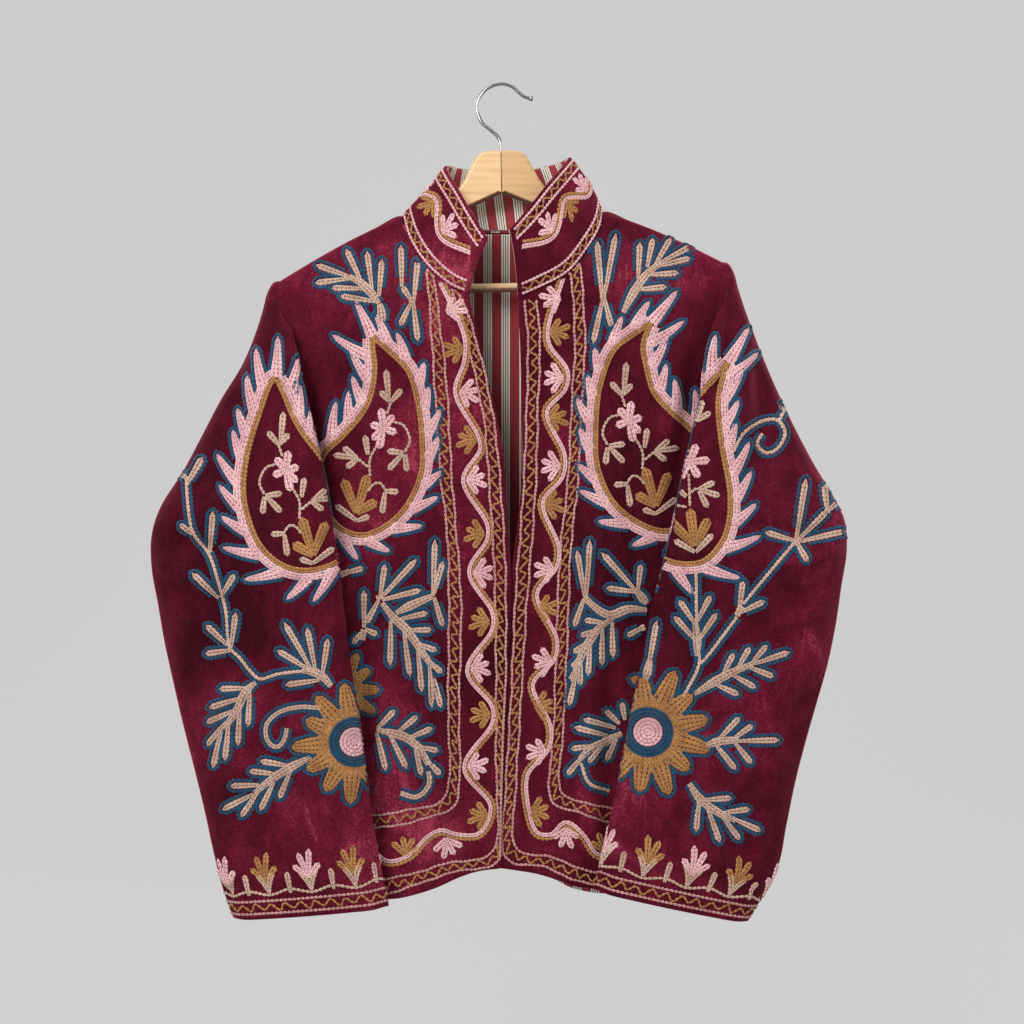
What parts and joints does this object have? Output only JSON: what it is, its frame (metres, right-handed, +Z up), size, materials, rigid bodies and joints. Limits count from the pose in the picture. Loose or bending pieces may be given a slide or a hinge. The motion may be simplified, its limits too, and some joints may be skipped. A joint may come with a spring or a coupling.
{
  "type": "embroidered suzani jacket on a wooden hanger",
  "caption": "Long-sleeved velvet jacket with a stand collar and suzani chain-stitch embroidery, hanging open at the neck on a wooden hanger with a wire hook",
  "frame": {"origin": "the point under the top of the hook's bend, where the hanger hangs", "axes": "+Z up, the fronts of the jacket face -Y, +X towards the wearer's left"},
  "size_m": [0.6963, 0.1124, 0.844],
  "materials": {
    "velvet": "burgundy cotton velvet with chain-stitch embroidery",
    "lining": "red cotton with woven groups of black and white stripes",
    "wood": "pale varnished wood",
    "chrome": "polished"
  },
  "bodies": {
    "root": {"front_right": "velvet", "front_left": "velvet", "back": "velvet", "sleeve_right": "velvet", "sleeve_left": "velvet", "collar": "velvet", "back_lining": "lining", "collar_lining": "lining", "cuff_lining_right": "lining", "cuff_lining_left": "lining", "hanger_arm_right": "wood", "hanger_arm_left": "wood", "hanger_bar": "wood", "hanger_hook": "chrome"}
  },
  "joints": []
}
